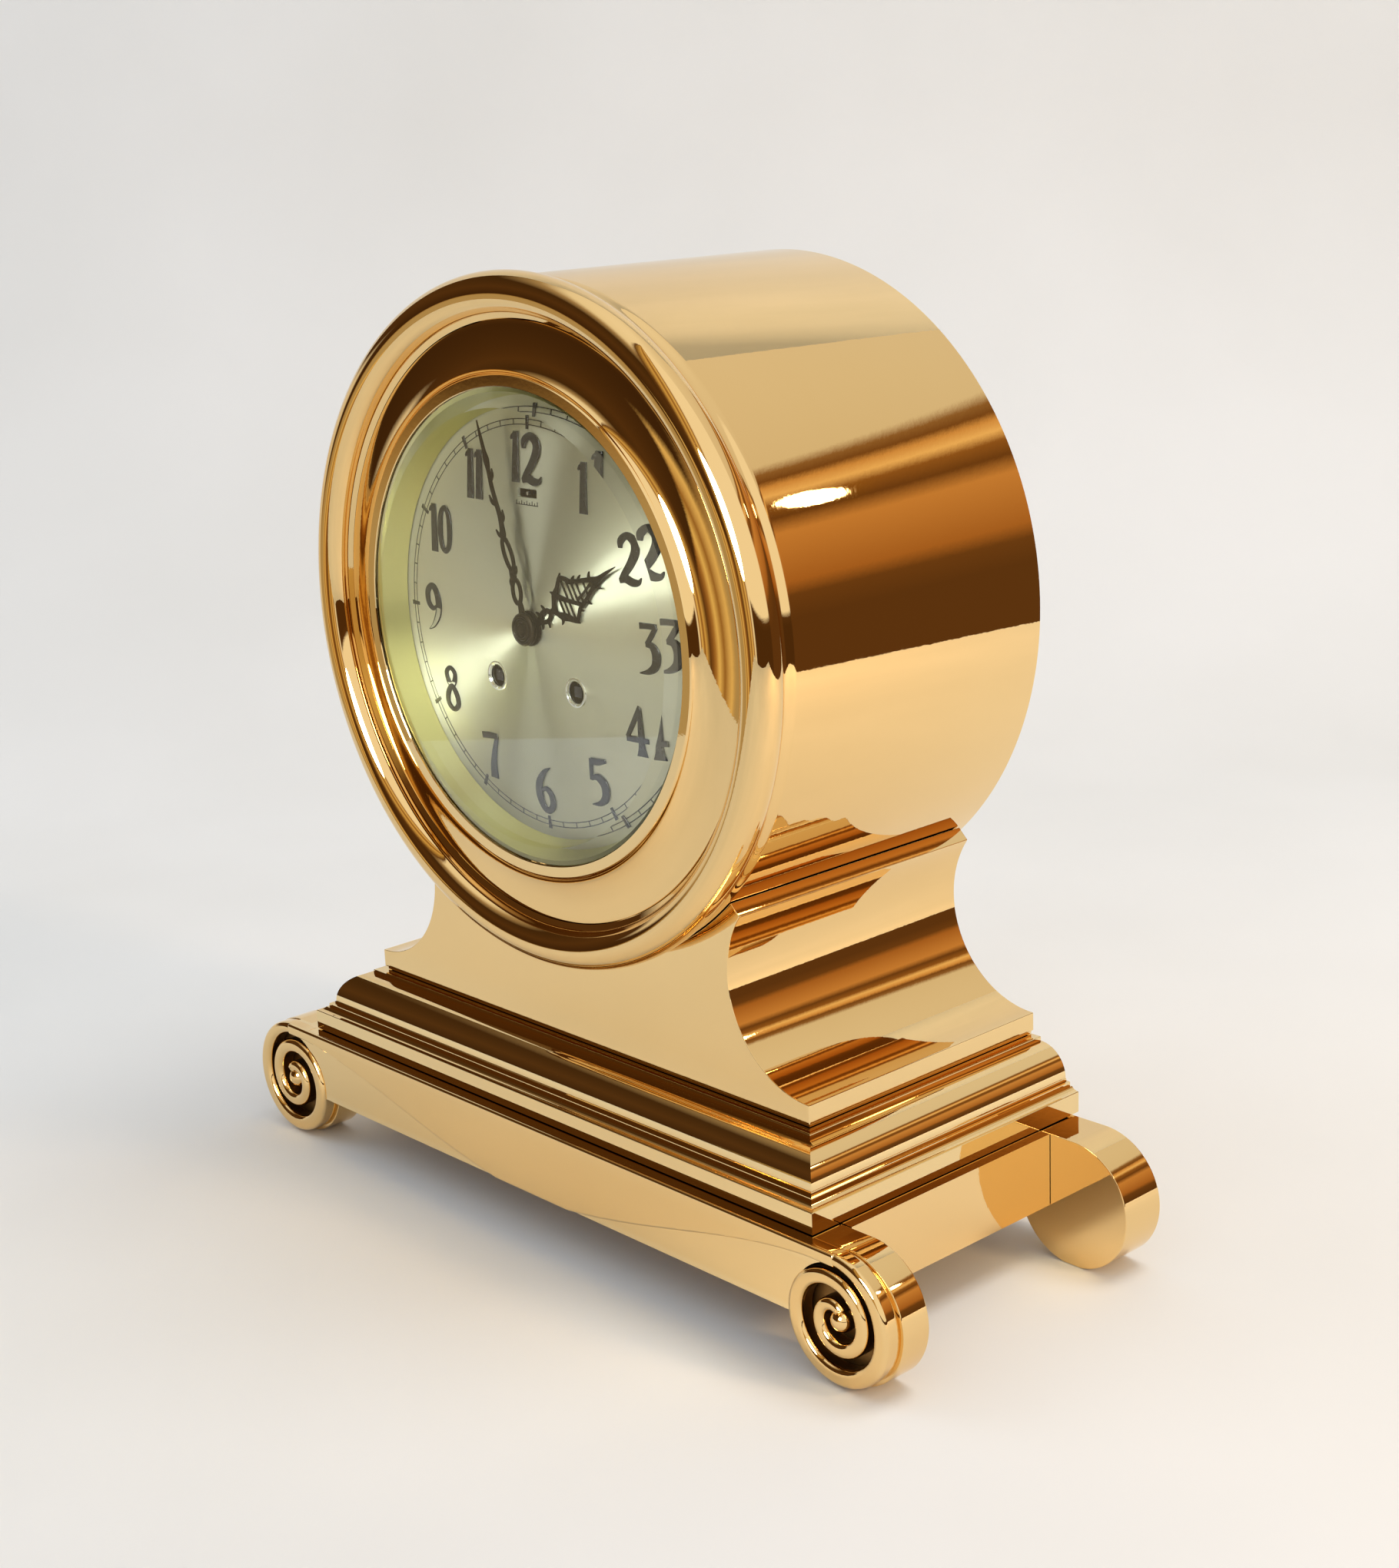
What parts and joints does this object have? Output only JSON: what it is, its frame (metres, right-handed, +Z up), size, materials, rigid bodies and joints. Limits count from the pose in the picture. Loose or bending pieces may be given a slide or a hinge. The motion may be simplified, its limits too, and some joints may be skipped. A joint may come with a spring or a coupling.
{
  "type": "ships bell clock",
  "caption": "Ship's bell mantel clock: a polished brass drum with screwed bezel and silvered dial on a scrolled pedestal, with its winding, going and striking work inside",
  "frame": {"origin": "on the floor, below the middle of the clock's outer box", "axes": "+Z up, the dial faces -Y, +X to the right of the dial as it is read"},
  "size_m": [0.3816, 0.1562, 0.3752],
  "materials": {
    "polished_brass": "mirror-polished, lacquered",
    "satin_brass": "satin",
    "silvered_dial": "silvered, fine sunburst grain",
    "dark_hands": "dark bronzed",
    "steel": "brushed",
    "movement_brass": "grained",
    "bell_metal": "turned",
    "clear_glass": "clear, bevelled edge"
  },
  "bodies": {
    "case": {"back_cover": "polished_brass", "back_cover_screw_1": "steel", "back_cover_screw_2": "steel", "back_cover_screw_3": "steel", "back_movement_plate": "movement_brass", "balance_cock": "movement_brass", "base_moulding": "polished_brass", "bell": "bell_metal", "bell_post": "steel", "dial": "silvered_dial", "drum_case": "polished_brass", "front_drum_bolt": "steel", "front_left_corner_screw": "steel", "front_movement_plate": "movement_brass", "front_right_corner_screw": "steel", "front_scroll_plate": "polished_brass", "hairspring": "steel", "left_frame_bolt": "steel", "left_pedestal_bolt": "steel", "left_side_panel": "polished_brass", "movement_screw_1": "steel", "movement_screw_2": "steel", "movement_screw_3": "steel", "pedestal": "polished_brass", "pillar_1": "movement_brass", "pillar_2": "movement_brass", "pillar_3": "movement_brass", "rear_drum_bolt": "steel", "rear_left_corner_screw": "steel", "rear_right_corner_screw": "steel", "rear_scroll_plate": "polished_brass", "right_frame_bolt": "steel", "right_pedestal_bolt": "steel", "right_side_panel": "polished_brass"},
    "bezel": {"bezel": "polished_brass", "glass": "clear_glass", "sight_ring": "satin_brass"},
    "minute_hand_body": {"minute_hand": "dark_hands", "hand_nut": "dark_hands", "cannon_pinion": "steel"},
    "hour_hand_body": {"hour_hand": "dark_hands", "hour_wheel": "movement_brass"},
    "minute_wheel": {"minute_wheel": "movement_brass"},
    "time_barrel": {"time_barrel": "movement_brass"},
    "centre_wheel": {"centre_wheel": "movement_brass"},
    "third_wheel": {"third_wheel": "movement_brass"},
    "fourth_wheel": {"fourth_wheel": "movement_brass"},
    "escape_wheel": {"escape_wheel": "steel"},
    "pallet_lever": {"pallet_lever": "steel"},
    "balance_wheel": {"balance_wheel": "movement_brass"},
    "regulator_index": {"regulator_index": "steel"},
    "strike_barrel": {"strike_barrel": "movement_brass"},
    "pin_wheel": {"pin_wheel": "movement_brass"},
    "warning_wheel": {"warning_wheel": "movement_brass"},
    "fly": {"fly": "movement_brass"},
    "hammer": {"hammer": "steel"},
    "time_winding_arbor": {"time_winding_arbor": "steel"},
    "strike_winding_arbor": {"strike_winding_arbor": "steel"},
    "time_click": {"time_click": "steel"},
    "strike_click": {"strike_click": "steel"}
  },
  "joints": [
    {"name": "bezel_off", "type": "slide", "parent": "case", "child": "bezel", "axis": [0, -1, 0], "range_m": [0, 0.06]},
    {"name": "minute_turn", "type": "hinge", "parent": "case", "child": "minute_hand_body", "pos_m": [0, 0, 0.2448], "axis": [0, 1, 0], "continuous": true},
    {"name": "hour_turn", "type": "hinge", "parent": "case", "child": "hour_hand_body", "pos_m": [0, 0, 0.2448], "axis": [0, 1, 0], "continuous": true},
    {"name": "minute_wheel_turn", "type": "hinge", "parent": "case", "child": "minute_wheel", "pos_m": [0, 0, 0.2298], "axis": [0, 1, 0], "continuous": true},
    {"name": "fourth_turn", "type": "hinge", "parent": "case", "child": "fourth_wheel", "pos_m": [0.0274, 0, 0.26825], "axis": [0, 1, 0], "continuous": true},
    {"name": "escape_turn", "type": "hinge", "parent": "case", "child": "escape_wheel", "pos_m": [0.019, 0, 0.2828], "axis": [0, 1, 0], "continuous": true},
    {"name": "third_turn", "type": "hinge", "parent": "case", "child": "third_wheel", "pos_m": [0.01005, 0, 0.26324], "axis": [0, 1, 0], "continuous": true},
    {"name": "centre_turn", "type": "hinge", "parent": "case", "child": "centre_wheel", "pos_m": [0, 0, 0.2448], "axis": [0, 1, 0], "continuous": true},
    {"name": "time_barrel_turn", "type": "hinge", "parent": "case", "child": "time_barrel", "pos_m": [0.023, 0, 0.2233], "axis": [0, 1, 0], "continuous": true},
    {"name": "warning_turn", "type": "hinge", "parent": "case", "child": "warning_wheel", "pos_m": [-0.02341, 0, 0.27319], "axis": [0, 1, 0], "continuous": true},
    {"name": "fly_turn", "type": "hinge", "parent": "case", "child": "fly", "pos_m": [-0.03061, 0, 0.28566], "axis": [0, 1, 0], "continuous": true},
    {"name": "pin_turn", "type": "hinge", "parent": "case", "child": "pin_wheel", "pos_m": [-0.02847, 0, 0.25432], "axis": [0, 1, 0], "continuous": true},
    {"name": "strike_barrel_turn", "type": "hinge", "parent": "case", "child": "strike_barrel", "pos_m": [-0.023, 0, 0.2233], "axis": [0, 1, 0], "continuous": true},
    {"name": "time_winding", "type": "hinge", "parent": "case", "child": "time_winding_arbor", "pos_m": [0.023, 0, 0.2233], "axis": [0, 1, 0], "continuous": true},
    {"name": "strike_winding", "type": "hinge", "parent": "case", "child": "strike_winding_arbor", "pos_m": [-0.023, 0, 0.2233], "axis": [0, 1, 0], "continuous": true},
    {"name": "balance_swing", "type": "hinge", "parent": "case", "child": "balance_wheel", "pos_m": [0, 0, 0.2808], "axis": [0, 1, 0], "range_deg": [-135, 135], "stiffness_Nm_per_rad": 0.00025},
    {"name": "pallet_rock", "type": "hinge", "parent": "case", "child": "pallet_lever", "pos_m": [0.0098, 0, 0.2823], "axis": [0, 1, 0], "range_deg": [-4, 4]},
    {"name": "regulator_set", "type": "hinge", "parent": "case", "child": "regulator_index", "pos_m": [0, 0, 0.2808], "axis": [0, 1, 0], "range_deg": [-20, 20]},
    {"name": "hammer_lift", "type": "hinge", "parent": "case", "child": "hammer", "pos_m": [-0.03, 0, 0.2008], "axis": [0, 1, 0], "range_deg": [0, 18]},
    {"name": "time_click_lift", "type": "hinge", "parent": "case", "child": "time_click", "pos_m": [0.0365, 0, 0.2298], "axis": [0, 1, 0], "range_deg": [-12, 0]},
    {"name": "strike_click_lift", "type": "hinge", "parent": "case", "child": "strike_click", "pos_m": [-0.0365, 0, 0.2298], "axis": [0, 1, 0], "range_deg": [0, 12]}
  ],
  "couplings": [
    {"joint": "hour_turn", "follows": "minute_turn", "ratio": 0.083333},
    {"joint": "minute_wheel_turn", "follows": "minute_turn", "ratio": -0.33333},
    {"joint": "escape_turn", "follows": "fourth_turn", "ratio": -6},
    {"joint": "third_turn", "follows": "fourth_turn", "ratio": -0.16667},
    {"joint": "centre_turn", "follows": "fourth_turn", "ratio": 0.027778},
    {"joint": "time_barrel_turn", "follows": "fourth_turn", "ratio": -0.0046296},
    {"joint": "fly_turn", "follows": "warning_turn", "ratio": -5},
    {"joint": "pin_turn", "follows": "warning_turn", "ratio": -0.16667},
    {"joint": "strike_barrel_turn", "follows": "warning_turn", "ratio": 0.027778}
  ]
}
